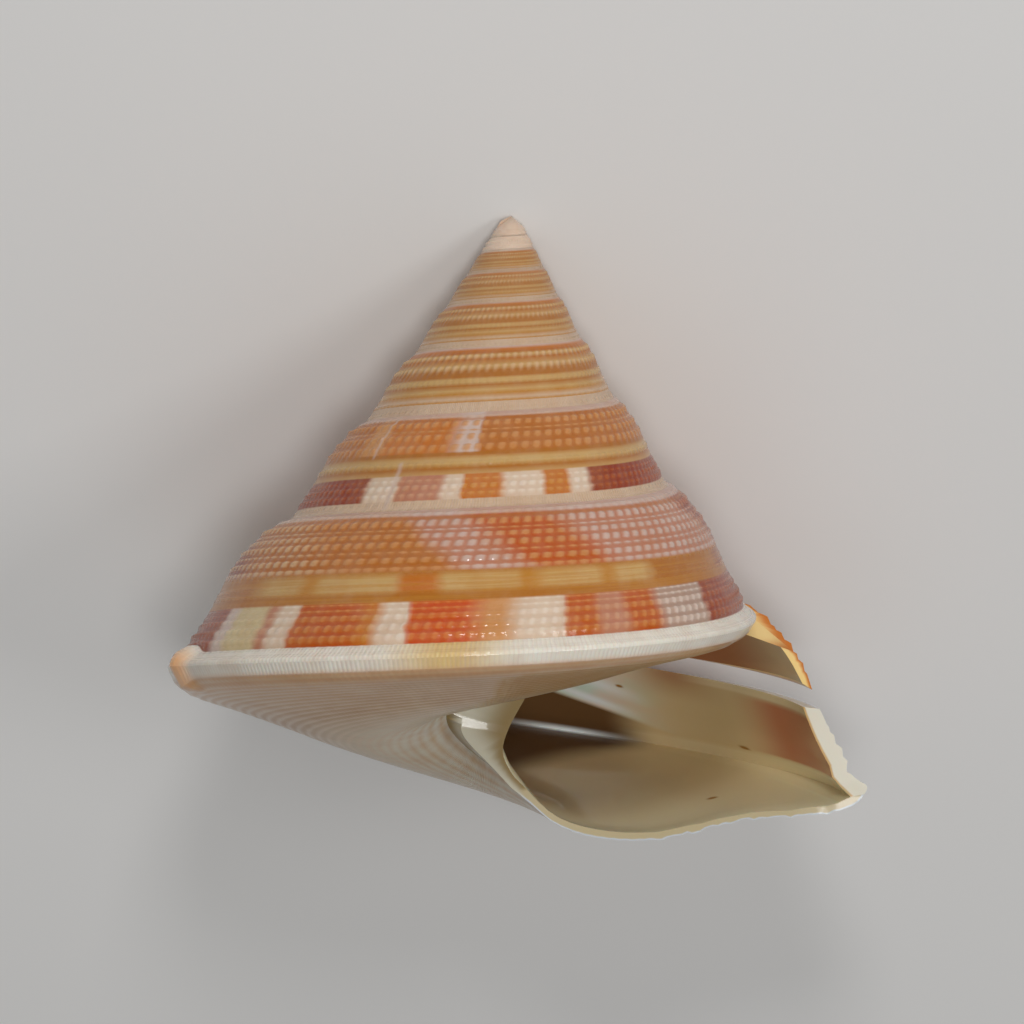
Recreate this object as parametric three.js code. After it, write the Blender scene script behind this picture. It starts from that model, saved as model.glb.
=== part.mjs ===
// A keeled slit shell in millimetres. It is modelled with its coiling axis upright: the tip at the
// origin, the aperture towards -Y and the outer lip at +X. At the end it is laid down on a table,
// on its tip and the back of its last whorl, with +Z up and the bottom of its box at z = 0.
import * as THREE from "three";

const STEPS = 45; // growth lines in one whorl
const SLANT = 1; // growth lines by which the keel runs ahead of the suture
const WHORLS = 8.5; // from the first whorl of the tip to the lip
const APEX_RISE = 0.4; // the rounded tip above the first whorl

// The keel winds down from the tip: how deep it lies below the tip, and how far from the axis.
const KEEL_DEPTH = 43.3;
const GROWTH = 0.375; // the depth grows by e to this power in each whorl
const TIP_OFFSET = 1.2; // the true tip lies this far below the point the spiral runs to
const LIP_SLOWING = { whorls: 0.03, reach: 0.3 }; // whorls lost where growth slows at the lip
const TIP_RADIUS = 0.74;
const CONE_SLOPE = [0.555, 0.68]; // keel radius over depth, near the tip and at the lip
const FLARE_DEPTH = 22; // about where the spire flares from the one slope to the other

// Side of a whorl, from the suture above (0) to the keel (1).
const SUTURE_SHARE = 0.955; // each whorl is laid on the one above just over its keel
const BULGE = [0.058, 0.036]; // convex side and hollow above the keel, shares of the height
const SHOULDER = { rise: 0.75, reach: 0.06 }; // fuller shoulder just below the suture
const KEEL_HOLLOW = { depth: 0.024, at: 0.89, reach: 0.035 }; // extra hollow just above the keel
const EARLY_BULGE = 0.15; // share of these that the smallest whorls have
const SLIT_TOP = 0.505;
const SLIT_BOTTOM = 0.592;
const SLIT_BEVEL = 0.05; // the faces of the slit lie level, not square to the wall
const SLIT_STEPS = 11; // growth lines the slit runs back from the lip
const CORD_HEIGHT = 0.34; // of the largest spiral cord on the last whorl
const LIP_WALL = 1.2;
const LIP_THINNING = { share: 0.55, reach: 4 }; // of the wall, over this many growth lines

// Share of the whorl's height, and share of the full cord height, from crest to valley.
const SIDE_ROWS = [
  [0, 0], [0.045, 0.8], [0.13, 1], [0.18, 0], [0.255, 1], [0.33, 0], [0.385, 0.8], [0.44, 0],
  [SLIT_TOP, 0.3], [SLIT_BOTTOM, 0.3], [0.622, 0], [0.655, 0.6], [0.73, 0], [0.805, 1],
  [0.845, 0.2], [0.88, 0.8], [0.92, 0], [SUTURE_SHARE, 0.3],
];
const KEEL_ROWS = [[0.978, 0.9], [1, 0.2]];

// Underside from the keel to the axis: share of the keel radius, and drop below the keel.
const BASE_ROWS = [
  [0.982, 0.036], [0.925, 0.07], [0.8, 0.102], [0.66, 0.14], [0.53, 0.176], [0.4, 0.197],
  [0.28, 0.189], [0.19, 0.153], [0.129, 0.098],
];
const LIP_WEAR = { share: 0.19, reach: 0.05 }; // of the drop, lost at the thin edge of the lip
const LIP_CHIP = { share: 0.12, at: 0.69, width: 0.13 }; // and more where the edge is chipped
const CEILING_FIRST = 1; // the rows of the whorl above that roof the hollow of the next one
const CEILING_LAST = 6;
const INNER_SIDE = [0.12, 0.25, 0.38, SLIT_TOP, SLIT_BOTTOM, 0.7, 0.82, 0.92];
const FLOOR = [[0.93, 0.068], [0.84, 0.094], [0.66, 0.14], [0.5, 0.183], [0.34, 0.194], [0.2, 0.157]];
const COLUMELLA = [[0.101, 0.035], [0.066, -0.0105], [0.044, -0.073], [0.058, -0.15], [0.098, -0.25]];
const HOLLOW_STEPS = 74; // growth lines the hollow runs back from the lip

// The pearly ridge at the outer edge of the inner lip, from its foot up into the hollow.
const RIDGE = [[2.1, -42.7], [0.5, -41.15], [-1.7, -39], [-1.9, -37.6], [-1, -35], [0.8, -32.4]];

const hump = (x) => Math.exp(-x * x);

const keelDepth = (t) =>
  KEEL_DEPTH * Math.exp(GROWTH * (t - LIP_SLOWING.whorls * Math.exp(t / LIP_SLOWING.reach)))
  - TIP_OFFSET;

function keel(t) {
  const z = keelDepth(t);
  const flare = 1 - hump(z / FLARE_DEPTH);
  return new THREE.Vector2(TIP_RADIUS + z * THREE.MathUtils.lerp(...CONE_SLOPE, flare), -z);
}

const scaleAt = (t) => keel(t).x / keel(0).x;

// A point of the side, as distance from the axis and height, pushed out by a cord.
function side(t, share, cord) {
  const top = t < -WHORLS ? keel(t - 1) : side(t - 1, SUTURE_SHARE, 0);
  const foot = keel(t);
  const line = foot.clone().sub(top);
  const out = new THREE.Vector2(-line.y, line.x);
  const hollow = KEEL_HOLLOW.depth * hump((share - KEEL_HOLLOW.at) / KEEL_HOLLOW.reach);
  const shoulder = SHOULDER.rise * share * Math.exp(-share / SHOULDER.reach);
  const belly = BULGE[0] * Math.sin(Math.PI * share) + BULGE[1] * Math.sin(2 * Math.PI * share);
  const size = scaleAt(t);
  const bulge = (belly + shoulder - hollow) * THREE.MathUtils.lerp(EARLY_BULGE, 1, size);
  const lift = bulge + (cord * size) / line.length();
  return top.addScaledVector(line, share).addScaledVector(out, lift);
}

// A point of the underside, raised into the shell by the wall when it belongs to the hollow.
function underside(t, [share, drop], wall = 0) {
  const edge = keel(t);
  const chip = LIP_CHIP.share * hump((share - LIP_CHIP.at) / LIP_CHIP.width);
  const worn = 1 - (LIP_WEAR.share + chip) * Math.exp(Math.min(t, 0) / LIP_WEAR.reach);
  return new THREE.Vector2(edge.x * share, edge.y - edge.x * drop * worn + wall);
}

// The closed surface is a list of points and of faces between them.
const points = [];
const faces = [];

function addPoint(turn, rz) {
  const angle = -2 * Math.PI * turn;
  points.push(new THREE.Vector3(rz.x * Math.cos(angle), rz.x * Math.sin(angle), rz.y));
  return points.length - 1;
}

const gap = (a, b) => points[a].distanceTo(points[b]);

// Fills the strip between two rows of points: in step when they match, or else each time with
// the shorter next edge.
function zip(a, b) {
  let i = 0;
  let j = 0;
  while (i < a.length - 1 || j < b.length - 1) {
    const shorterA = i < a.length - 1 && gap(a[i + 1], b[j]) <= gap(a[i], b[j + 1]);
    const alongA = j === b.length - 1 || (a.length === b.length ? i === j : shorterA);
    const face = alongA ? [a[i], b[j], a[i + 1]] : [a[i], b[j], b[j + 1]];
    if (alongA) i += 1;
    else j += 1;
    if (new Set(face).size === 3) faces.push(face);
  }
}

const FIRST = Math.round(-WHORLS * STEPS);
const LAP = STEPS + SLANT; // a growth line is laid on the keel of the line this far back
const UPPER_ROWS = [
  SIDE_ROWS, SIDE_ROWS, pick(0, 2, 3, 4, 5, 7, 11, 13, 16, 17), pick(0, 4, 7, 13, 17),
  pick(0, 4, 13, 17), pick(0, 7, 17), pick(0, 7, 17), pick(0, 17), pick(0, 17),
];

function pick(...kept) {
  return kept.map((k) => SIDE_ROWS[k]);
}

// Turns round the axis at which a point of growth line i lies: its keel runs ahead of its suture.
const turnOfSide = (i, share) => (i + SLANT * (share / SUTURE_SHARE - 0.5)) / STEPS;
const KEEL_LEAD = SLANT * (1 / SUTURE_SHARE - 0.5);

function turnOfBase(i, row) {
  return (i + KEEL_LEAD * (1 - (row + 1) / BASE_ROWS.length)) / STEPS;
}

// One growth line of the outside: its side, and for the last whorl its keel and underside.
function growthLine(i, lines) {
  const rows = UPPER_ROWS[Math.min(Math.floor(-i / STEPS), UPPER_ROWS.length - 1)];
  const above = lines.get(i - LAP);
  const sidePoint = ([share, cord]) => {
    const t = turnOfSide(i, share);
    return addPoint(t, side(t, share, cord * CORD_HEIGHT));
  };
  const top = above ? above.suture : sidePoint([0, 0]);
  const ids = [top, ...rows.slice(1).map(sidePoint)];
  const line = { side: ids, suture: ids.at(-1), upper: ids.slice(0, 9), lower: ids.slice(9) };
  if (i >= -LAP) {
    line.keel = KEEL_ROWS.map(sidePoint);
    line.base = BASE_ROWS.map((row, k) => {
      const t = turnOfBase(i, k);
      return addPoint(t, underside(t, row));
    });
    line.below = [...line.keel, ...line.base];
  }
  return line;
}

// One section of the hollow, from the upper edge of the slit round to its lower edge.
function hollowLine(j, lines) {
  const thin = 1 - LIP_THINNING.share * hump(j / LIP_THINNING.reach);
  const inside = (share) => {
    const t = turnOfSide(j, share);
    const atSlit = share === SLIT_TOP || share === SLIT_BOTTOM;
    const p = side(t, atSlit ? share - SLIT_BEVEL : share, 0);
    const line = keel(t).sub(side(t, 0, 0));
    const wall = LIP_WALL * scaleAt(t) * (share < SLIT_BOTTOM ? thin : 1);
    return addPoint(t, p.addScaledVector(new THREE.Vector2(line.y, -line.x).normalize(), wall));
  };
  const at = (shape, wall) => {
    const t = (j + KEEL_LEAD * shape[0]) / STEPS;
    return addPoint(t, underside(t, shape, wall * scaleAt(t)));
  };
  const ceiling = [];
  for (let k = CEILING_FIRST; k <= CEILING_LAST; k += 1) {
    const t = turnOfBase(j - LAP, k);
    ceiling.push(j === 0 ? lines.get(-LAP).base[k] : addPoint(t, underside(t, BASE_ROWS[k])));
  }
  return {
    roof: INNER_SIDE.slice(0, 4).reverse().map(inside),
    ceiling,
    inner: COLUMELLA.map((shape) => at(shape, 0)).reverse(),
    floor: FLOOR.map((shape) => at(shape, LIP_WALL * thin)).reverse(),
    wall: INNER_SIDE.slice(4).map(inside).reverse(),
  };
}

const loopOf = (h) => [...h.roof, ...h.ceiling, ...h.inner, ...h.floor, ...h.wall];

function buildOutside(lines) {
  for (let i = FIRST; i <= 0; i += 1) lines.set(i, growthLine(i, lines));
  for (let i = FIRST; i < 0; i += 1) {
    const a = lines.get(i);
    const b = lines.get(i + 1);
    if (i < -SLIT_STEPS) zip(a.side, b.side);
    else {
      zip(a.upper, b.upper);
      zip(a.lower, b.lower);
    }
    if (i >= -LAP) zip([a.suture, ...a.below], [b.suture, ...b.below]);
  }
}

// The first whorl starts round a rounded tip.
function closeTip(lines) {
  const ring = lines.get(FIRST).side.slice(1).reverse();
  const rim = [];
  for (let i = FIRST; i < FIRST + LAP; i += 1) rim.push(lines.get(i).side[0]);
  const loop = [...rim, ...ring, rim[0]];
  const tip = addPoint(0, new THREE.Vector2(0, APEX_RISE));
  for (let k = 0; k < loop.length - 1; k += 1) faces.push([tip, loop[k + 1], loop[k]]);
}

function buildHollow(lines) {
  let last = hollowLine(0, lines);
  const mouth = last;
  const cut = [last];
  for (let j = -1; j >= -HOLLOW_STEPS; j -= 1) {
    const next = hollowLine(j, lines);
    const a = loopOf(next);
    const b = loopOf(last);
    if (j < -SLIT_STEPS) zip([...a, a[0]], [...b, b[0]]);
    else {
      zip(a, b);
      cut.push(next);
    }
    last = next;
  }
  const end = loopOf(last);
  const middle = end.reduce((sum, id) => sum.add(points[id]), new THREE.Vector3());
  points.push(middle.divideScalar(end.length));
  const hub = points.length - 1;
  end.forEach((id, k) => faces.push([id, end[(k + 1) % end.length], hub]));
  return { mouth, cut };
}

// The two long faces of the slit, and the short one at its end.
function closeSlit(lines, cut) {
  const outTop = cut.map((_, k) => lines.get(-k).upper.at(-1));
  const outBottom = cut.map((_, k) => lines.get(-k).lower[0]);
  const inTop = cut.map((h) => h.roof[0]);
  const inBottom = cut.map((h) => h.wall.at(-1));
  zip(outTop, inTop);
  zip(inBottom, outBottom);
  zip([outTop.at(-1), outBottom.at(-1)], [inTop.at(-1), inBottom.at(-1)]);
}

function closeLip(lines, mouth) {
  const lip = lines.get(0);
  const above = lines.get(-LAP);
  const start = [above.suture, ...above.keel, ...above.base.slice(0, CEILING_FIRST)];
  zip(lip.upper, [...start, mouth.ceiling[0], ...mouth.roof.slice().reverse()]);
  const ridge = RIDGE.map(([x, z]) => {
    points.push(new THREE.Vector3(x, 0, z));
    return points.length - 1;
  });
  const foot = lip.base.at(-1);
  const head = above.base.at(-1);
  const outer = [...lip.lower, ...lip.below, ...ridge, head];
  const inner = [
    ...mouth.wall.slice().reverse(), ...mouth.floor.slice().reverse(),
    ...mouth.inner.slice().reverse(), ...above.base.slice(CEILING_LAST),
  ];
  zip(outer, inner);
  const centre = [];
  for (let i = -LAP; i <= 0; i += 1) centre.push(lines.get(i).base.at(-1));
  zip([head, ...ridge.slice().reverse(), foot], centre);
}

const lines = new Map();
buildOutside(lines);
closeTip(lines);
const { mouth, cut } = buildHollow(lines);
closeSlit(lines, cut);
closeLip(lines, mouth);

const geometry = new THREE.BufferGeometry().setFromPoints(points);
geometry.setIndex(faces.flat());
geometry.computeVertexNormals();

const ivory = new THREE.MeshStandardMaterial({ name: "shell", color: 0xd9b58c, roughness: 0.4 });
const shell = new THREE.Mesh(geometry, ivory);
shell.name = "shell";

// Laid down on its lowest side, and turned until the photograph's view of it is along +Y.
const SPIN = THREE.MathUtils.degToRad(11.659); // round the coiling axis
const LEAN = THREE.MathUtils.degToRad(-125.716); // over backwards, with the tip down
const TURN = THREE.MathUtils.degToRad(-176.891); // on the table

const leaning = new THREE.Group();
shell.rotation.z = SPIN;
leaning.rotation.x = LEAN;
leaning.add(shell);

const group = new THREE.Group();
group.rotation.z = TURN;
group.add(leaning);

const box = new THREE.Box3().setFromObject(group, true);
const middle = box.getCenter(new THREE.Vector3());
group.position.set(-middle.x, -middle.y, -box.min.z);
export default group;
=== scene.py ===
import bpy
import numpy as np
from mathutils import Matrix, Vector


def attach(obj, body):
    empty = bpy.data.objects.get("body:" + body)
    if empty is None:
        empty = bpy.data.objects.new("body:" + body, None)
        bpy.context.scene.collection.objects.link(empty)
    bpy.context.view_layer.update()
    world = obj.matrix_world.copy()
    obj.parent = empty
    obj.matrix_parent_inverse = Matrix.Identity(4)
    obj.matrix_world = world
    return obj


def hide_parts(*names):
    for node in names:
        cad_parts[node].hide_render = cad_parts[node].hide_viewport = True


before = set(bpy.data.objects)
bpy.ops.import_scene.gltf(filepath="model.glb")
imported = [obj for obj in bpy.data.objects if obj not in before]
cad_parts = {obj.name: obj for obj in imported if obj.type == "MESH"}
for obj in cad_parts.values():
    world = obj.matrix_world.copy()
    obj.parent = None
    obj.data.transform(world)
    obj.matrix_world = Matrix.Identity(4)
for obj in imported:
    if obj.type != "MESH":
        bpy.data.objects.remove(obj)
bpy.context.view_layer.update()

# The coiled wall. The snail lays it down at the lip, one growth line after another, while the lip
# winds down round the coiling axis. Sizes are millimetres, with the origin just under the tip and
# the axis upright. Turns count back from the lip at 0. Share runs from the suture, 0, to the keel, 1.
MM = 0.001
LINES = 450  # growth lines in one whorl
SLANT = 10  # growth lines by which the keel runs ahead of the suture
WHORLS = 8.5
APEX_RISE = 0.4  # of the tip above the origin
KEEL_DEPTH = 43.3  # of the keel below the origin, before the two corrections that follow
GROWTH = 0.375  # in one turn the depth grows by e to the power of this
TIP_OFFSET = 1.2
LIP_SLOWING = 0.03  # turns by which the keel stays behind at the lip
SLOWING_REACH = 0.3
TIP_RADIUS = 0.74
TIP_SLOPE = 0.555  # how much wider the shell gets in a millimetre of depth, near the tip
LIP_SLOPE = 0.68  # and near the lip
FLARE_DEPTH = 22
SUTURE_SHARE = 0.955  # where the next whorl is laid on
BELLY = 0.058  # how far the side stands out, as a share of its width
BELLY_HOLLOW = 0.036
SHOULDER_RISE = 0.75
SHOULDER_REACH = 0.06
KEEL_HOLLOW = 0.024
KEEL_HOLLOW_AT = 0.89
KEEL_HOLLOW_REACH = 0.035
EARLY_BULGE = 0.15
SLIT_TOP = 0.505  # shares of the slit's two edges
SLIT_BOTTOM = 0.592

FIRST = round(-WHORLS * LINES)
LAP = LINES + SLANT


def hump(x):
    return np.exp(-x * x)


def keel(turn):
    """Distance from the axis and height of the keel."""
    slowed = turn - LIP_SLOWING * np.exp(turn / SLOWING_REACH)
    depth = KEEL_DEPTH * np.exp(GROWTH * slowed) - TIP_OFFSET
    slope = LIP_SLOPE + (TIP_SLOPE - LIP_SLOPE) * hump(depth / FLARE_DEPTH)
    return np.stack([TIP_RADIUS + depth * slope, -depth], -1)


def size_at(turn):
    return keel(turn)[..., 0] / keel(0.0)[0]


def side(turn, share, lift):
    """Distance from the axis and height of a point of the side, lifted by a cord on it."""
    turn, share, lift = np.broadcast_arrays(turn, share, lift)
    top = keel(turn - 1)
    laid_on = turn >= -WHORLS
    if laid_on.any():
        top[laid_on] = side(turn[laid_on] - 1, SUTURE_SHARE, 0.0)
    line = keel(turn) - top
    out = np.stack([-line[..., 1], line[..., 0]], -1)
    hollow = KEEL_HOLLOW * hump((share - KEEL_HOLLOW_AT) / KEEL_HOLLOW_REACH)
    shoulder = SHOULDER_RISE * share * np.exp(-share / SHOULDER_REACH)
    belly = BELLY * np.sin(np.pi * share) + BELLY_HOLLOW * np.sin(2 * np.pi * share)
    size = size_at(turn)
    bulge = (belly + shoulder - hollow) * (EARLY_BULGE + (1 - EARLY_BULGE) * size)
    bulge = bulge + lift * size / np.linalg.norm(line, axis=-1)
    return top + line * share[..., None] + out * bulge[..., None]


def wound(turn, section):
    """The point in space of a point of a section, at its turn round the axis."""
    angle = -2 * np.pi * turn
    radius = section[..., 0]
    return np.stack([radius * np.cos(angle), radius * np.sin(angle), section[..., 1]], -1)


class Surface:
    """Points, the corners that place them in the pattern, and faces of three corners each.

    A corner holds its point and the turn, share, zone and relief that its colour is made from.
    """

    ROOM = 400_000

    def __init__(self):
        self.positions = np.zeros((self.ROOM, 3))
        self.point = np.zeros(self.ROOM, int)
        self.pattern = np.zeros((self.ROOM, 4))
        self.point_count = 0
        self.corner_count = 0
        self.faces = []

    def corners(self, points, turn, share, zone, relief=0.0):
        """Corners at points that are there already."""
        start, end = self.corner_count, self.corner_count + points.size
        self.corner_count = end
        self.point[start:end] = points.ravel()
        for column, value in enumerate((turn, share, zone, relief)):
            self.pattern[start:end, column] = np.broadcast_to(value, points.shape).ravel()
        return np.arange(start, end).reshape(points.shape)

    def add(self, positions, turn, share, zone, relief=0.0):
        start = self.point_count
        points = start + np.arange(positions[..., 0].size).reshape(positions.shape[:-1])
        self.point_count += points.size
        self.positions[start:self.point_count] = positions.reshape(-1, 3)
        return self.corners(points, turn, share, zone, relief)

    def again(self, corners, zone, relief=0.0, share=None):
        """Corners at the same points, in another zone and perhaps at another share."""
        if share is None:
            share = self.pattern[corners, 1]
        return self.corners(self.point[corners], self.pattern[corners, 0], share, zone, relief)

    def sheet(self, grid):
        """Faces between the columns of a grid of corners."""
        a, b, c, d = grid[:-1, :-1], grid[1:, :-1], grid[:-1, 1:], grid[1:, 1:]
        self.faces.append(np.stack([a, b, c], -1).reshape(-1, 3))
        self.faces.append(np.stack([c, b, d], -1).reshape(-1, 3))

    def strip(self, a, b):
        """Faces between two rows of corners: in step, or each time with the shorter next edge."""
        if len(a) == len(b):
            self.sheet(np.stack([a, b]))
            return
        at = self.positions[self.point[a]], self.positions[self.point[b]]
        made = []
        i = j = 0
        while i < len(a) - 1 or j < len(b) - 1:
            along_a = j == len(b) - 1
            if not along_a and i < len(a) - 1:
                step_a = np.linalg.norm(at[0][i + 1] - at[1][j])
                along_a = step_a <= np.linalg.norm(at[0][i] - at[1][j + 1])
            if along_a:
                made.append((a[i], b[j], a[i + 1]))
                i += 1
            else:
                made.append((a[i], b[j], b[j + 1]))
                j += 1
        self.faces.append(np.array(made))


surface = Surface()
OUTSIDE, HOLLOW, RIM, CALLUS = 0, 1, 2, 3

# Spiral cords on the side of each whorl. They are low threads or rows of beads, each bead where a
# growth line crosses a cord, and the smaller whorls have fewer and simpler ones.
BOLD, FINE = 4, 2  # rows of points for each cord
UPPER_BEADS = 0  # the coarser beads above the slit
LOWER_BEADS = 1  # the closer ones below it

# Share, half width as a share, height in mm on the last whorl, how deep it is cut into beads, the
# kind of beads and how finely it is built.
LAST_CORDS = [
    (0.045, 0.022, 0.14, 0.6, UPPER_BEADS, BOLD),
    (0.128, 0.036, 0.34, 0.75, UPPER_BEADS, BOLD),
    (0.180, 0.014, 0.16, 0.5, UPPER_BEADS, FINE),
    (0.222, 0.024, 0.24, 0.7, UPPER_BEADS, BOLD),
    (0.284, 0.030, 0.32, 0.75, UPPER_BEADS, BOLD),
    (0.336, 0.016, 0.20, 0.6, UPPER_BEADS, FINE),
    (0.386, 0.026, 0.26, 0.7, UPPER_BEADS, BOLD),
    (0.434, 0.016, 0.14, 0.5, UPPER_BEADS, FINE),
    (0.532, 0.013, 0.09, 0.5, LOWER_BEADS, FINE),
    (0.570, 0.013, 0.09, 0.5, LOWER_BEADS, FINE),
    (0.642, 0.010, 0.06, 0.5, LOWER_BEADS, FINE),
    (0.678, 0.016, 0.14, 0.5, LOWER_BEADS, FINE),
    (0.724, 0.024, 0.25, 0.65, LOWER_BEADS, BOLD),
    (0.788, 0.031, 0.33, 0.75, LOWER_BEADS, BOLD),
    (0.848, 0.025, 0.28, 0.7, LOWER_BEADS, BOLD),
    (0.905, 0.020, 0.18, 0.6, LOWER_BEADS, FINE),
]
SECOND_CORDS = [
    (0.050, 0.022, 0.14, 0.5, UPPER_BEADS, FINE),
    (0.135, 0.040, 0.42, 0.75, UPPER_BEADS, BOLD),
    (0.205, 0.018, 0.14, 0.5, UPPER_BEADS, FINE),
    (0.270, 0.036, 0.38, 0.75, UPPER_BEADS, BOLD),
    (0.375, 0.040, 0.34, 0.7, UPPER_BEADS, BOLD),
    (0.470, 0.020, 0.10, 0.0, UPPER_BEADS, FINE),
    (0.528, 0.030, 0.24, 0.6, LOWER_BEADS, BOLD),
    (0.600, 0.015, 0.08, 0.0, LOWER_BEADS, FINE),
    (0.670, 0.022, 0.20, 0.6, LOWER_BEADS, FINE),
    (0.735, 0.030, 0.32, 0.7, LOWER_BEADS, BOLD),
    (0.805, 0.026, 0.30, 0.6, LOWER_BEADS, FINE),
    (0.885, 0.026, 0.28, 0.7, LOWER_BEADS, FINE),
]
SPIRE_CORDS = [
    (0.150, 0.050, 0.50, 0.75, UPPER_BEADS, FINE),
    (0.310, 0.050, 0.46, 0.7, UPPER_BEADS, FINE),
    (0.500, 0.040, 0.28, 0.5, LOWER_BEADS, FINE),
    (0.640, 0.030, 0.12, 0.3, LOWER_BEADS, FINE),
    (0.760, 0.030, 0.20, 0.5, LOWER_BEADS, FINE),
    (0.895, 0.045, 0.34, 0.7, LOWER_BEADS, FINE),
]
EARLY_CORDS = [
    (0.300, 0.100, 1.10, 0.6, UPPER_BEADS, FINE),
    (0.640, 0.100, 1.10, 0.6, LOWER_BEADS, FINE),
]
CORDS_BY_WHORL = [
    LAST_CORDS, SECOND_CORDS, SPIRE_CORDS, SPIRE_CORDS[:3] + SPIRE_CORDS[4:],
    SPIRE_CORDS[:3] + SPIRE_CORDS[5:], SPIRE_CORDS[:3] + SPIRE_CORDS[5:], EARLY_CORDS, EARLY_CORDS,
    EARLY_CORDS,
]
FLANK = 0.62  # what is left of a bold cord's height half way down its side
SUTURE_CORD = 0.1, 0.3  # height and beading of the cord that the next whorl is laid on
AXIAL_THREAD = 0.06  # height of the growth threads that join the beads
SMOOTH_BAND = 0.47, 0.62  # the shares between which the slit leaves no such threads


def cord_rows(cords, kept=()):
    """Rows of points across the cords: share, height, beading and kind of beads."""
    rows = [(0.0, 0.0, 0.0, UPPER_BEADS)]
    for share, half, height, beading, kind, detail in cords:
        if share - half > rows[-1][0] + half / 2:
            rows.append((share - half, 0.0, 0.0, kind))
        if detail == BOLD:
            rows.append((share - half / 2, height * FLANK, beading, kind))
        rows.append((share, height, beading, kind))
        if detail == BOLD:
            rows.append((share + half / 2, height * FLANK, beading, kind))
    if cords:
        rows.append((cords[-1][0] + cords[-1][1], 0.0, 0.0, UPPER_BEADS))
    rows.append((SUTURE_SHARE, *SUTURE_CORD, LOWER_BEADS))
    rows += [(share, 0.0, 0.0, LOWER_BEADS) for share in kept]
    return np.array(sorted(rows))


# How many growth lines one bead takes, at these turns.
BEAD_TURNS = [-3, -2, -1.5, -1, 0]
BEAD_LINES = {UPPER_BEADS: [6, 6, 5, 4, 4], LOWER_BEADS: [5, 4, 4, 3, 3]}
BEAD_ROUNDNESS = 0.7
BEAD_UNEVENNESS = 0.22
BEAD_SEED = 7
chance = np.random.default_rng(BEAD_SEED)


def bead_heights(kind):
    """For each growth line 1 on top of a bead, down to 0 between two beads."""
    height = np.zeros(-FIRST + 1)
    line = 0
    owed = 0.0
    while line < -FIRST:
        owed += np.interp(-line / LINES, BEAD_TURNS, BEAD_LINES[kind])
        wide = round(owed)
        owed -= wide
        wave = 0.5 + 0.5 * np.cos(2 * np.pi * np.arange(wide) / wide)
        bead = wave**BEAD_ROUNDNESS * (1 - BEAD_UNEVENNESS * chance.random())
        height[line:line + wide] = bead[:-FIRST + 1 - line]
        line += wide
    return height[::-1]  # from the first growth line to the lip


beads = np.stack([bead_heights(UPPER_BEADS), bead_heights(LOWER_BEADS)])


def turn_of_side(line, share):
    return (line + SLANT * (share / SUTURE_SHARE - 0.5)) / LINES


def side_corners(lines, rows):
    """A grid of corners, one column for each growth line."""
    share, height, beading, kind = rows.T
    turn = turn_of_side(lines[:, None], share)
    bead = beads[kind.astype(int)][:, lines - FIRST].T
    relief = (1 - beading * (1 - bead)) * (height > 0)
    smooth = (share >= SMOOTH_BAND[0]) & (share <= SMOOTH_BAND[1])
    threaded = (height == 0) & (share > 0) & ~smooth
    section = side(turn, share, height * relief + AXIAL_THREAD * bead * threaded)
    return surface.add(wound(turn, section), turn, share, OUTSIDE, relief * (beading > 0))


suture = np.zeros(-FIRST + 1, int)  # points that the next whorl is laid on
tops = np.zeros(-FIRST + 1, int)  # corners at the upper end of each growth line
previous = None
for whorl in range(len(CORDS_BY_WHORL) - 1, -1, -1):
    lines = np.arange(max(FIRST, -(whorl + 1) * LINES + 1), -whorl * LINES + 1)
    rows = cord_rows(CORDS_BY_WHORL[whorl], () if whorl else (SLIT_TOP, SLIT_BOTTOM))
    grid = side_corners(lines, rows)
    suture[lines - FIRST] = surface.point[grid[:, -1]]
    laid = lines - LAP >= FIRST
    below = suture[lines[laid] - LAP - FIRST]
    grid[laid, 0] = surface.corners(below, turn_of_side(lines[laid], 0.0), 0.0, OUTSIDE)
    tops[lines - FIRST] = grid[:, 0]
    if previous is None:
        first_line = grid[0]
    else:
        surface.strip(previous, grid[0])
    if whorl:
        surface.sheet(grid)
    previous = grid[-1]

# The slit and the tip. The snail leaves a narrow gap in the lip and closes it behind itself, so
# the last whorl is one sheet up to the end of the slit and two from there to the lip. The first
# whorl closes on one point at the tip.
SLIT_LINES = 110
last = grid
slit_top, slit_bottom = (int(np.argmin(abs(rows[:, 0] - edge))) for edge in (SLIT_TOP, SLIT_BOTTOM))
slit_start = len(last) - 1 - SLIT_LINES
surface.sheet(last[:slit_start + 1])
surface.sheet(last[slit_start:, :slit_top + 1])
surface.sheet(last[slit_start:, slit_bottom:])

rim = np.concatenate([tops[:LAP], first_line[:0:-1], tops[:1]])
tip = surface.add(np.array([[0.0, 0.0, APEX_RISE]]), -WHORLS - 1, 0.0, OUTSIDE)
surface.faces.append(np.stack([np.full(len(rim) - 1, tip[0]), rim[1:], rim[:-1]], -1))

# The keel and the underside, which winds in to the axis under fine low threads. The lip is worn and
# chipped along the underside. Keel rows are share, height and beading. Underside rows are a share of
# the keel's radius and the drop below the keel, as a share of that radius.
KEEL_ROWS = [(0.966, 0.20, 0.3), (0.980, 0.30, 0.25), (0.992, 0.22, 0.2), (1.0, 0.07, 0.0)]
UNDERSIDE = [
    (0.982, 0.036), (0.925, 0.07), (0.8, 0.102), (0.66, 0.14), (0.53, 0.176), (0.4, 0.197),
    (0.28, 0.189), (0.19, 0.153), (0.129, 0.098),
]
UNDERSIDE_POINTS = 8  # along the smooth curve, for each of these rows
UNDERSIDE_STEP = 2  # the underside has every second growth line
UNDERSIDE_THREADS = 27
THREAD_HEIGHT = 0.09
LIP_WEAR = 0.19
LIP_WEAR_REACH = 0.05
LIP_CHIP = 0.12
LIP_CHIP_AT = 0.69
LIP_CHIP_WIDTH = 0.13
LIP_NICK = 0.018
LIP_NICKS = 12
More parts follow.
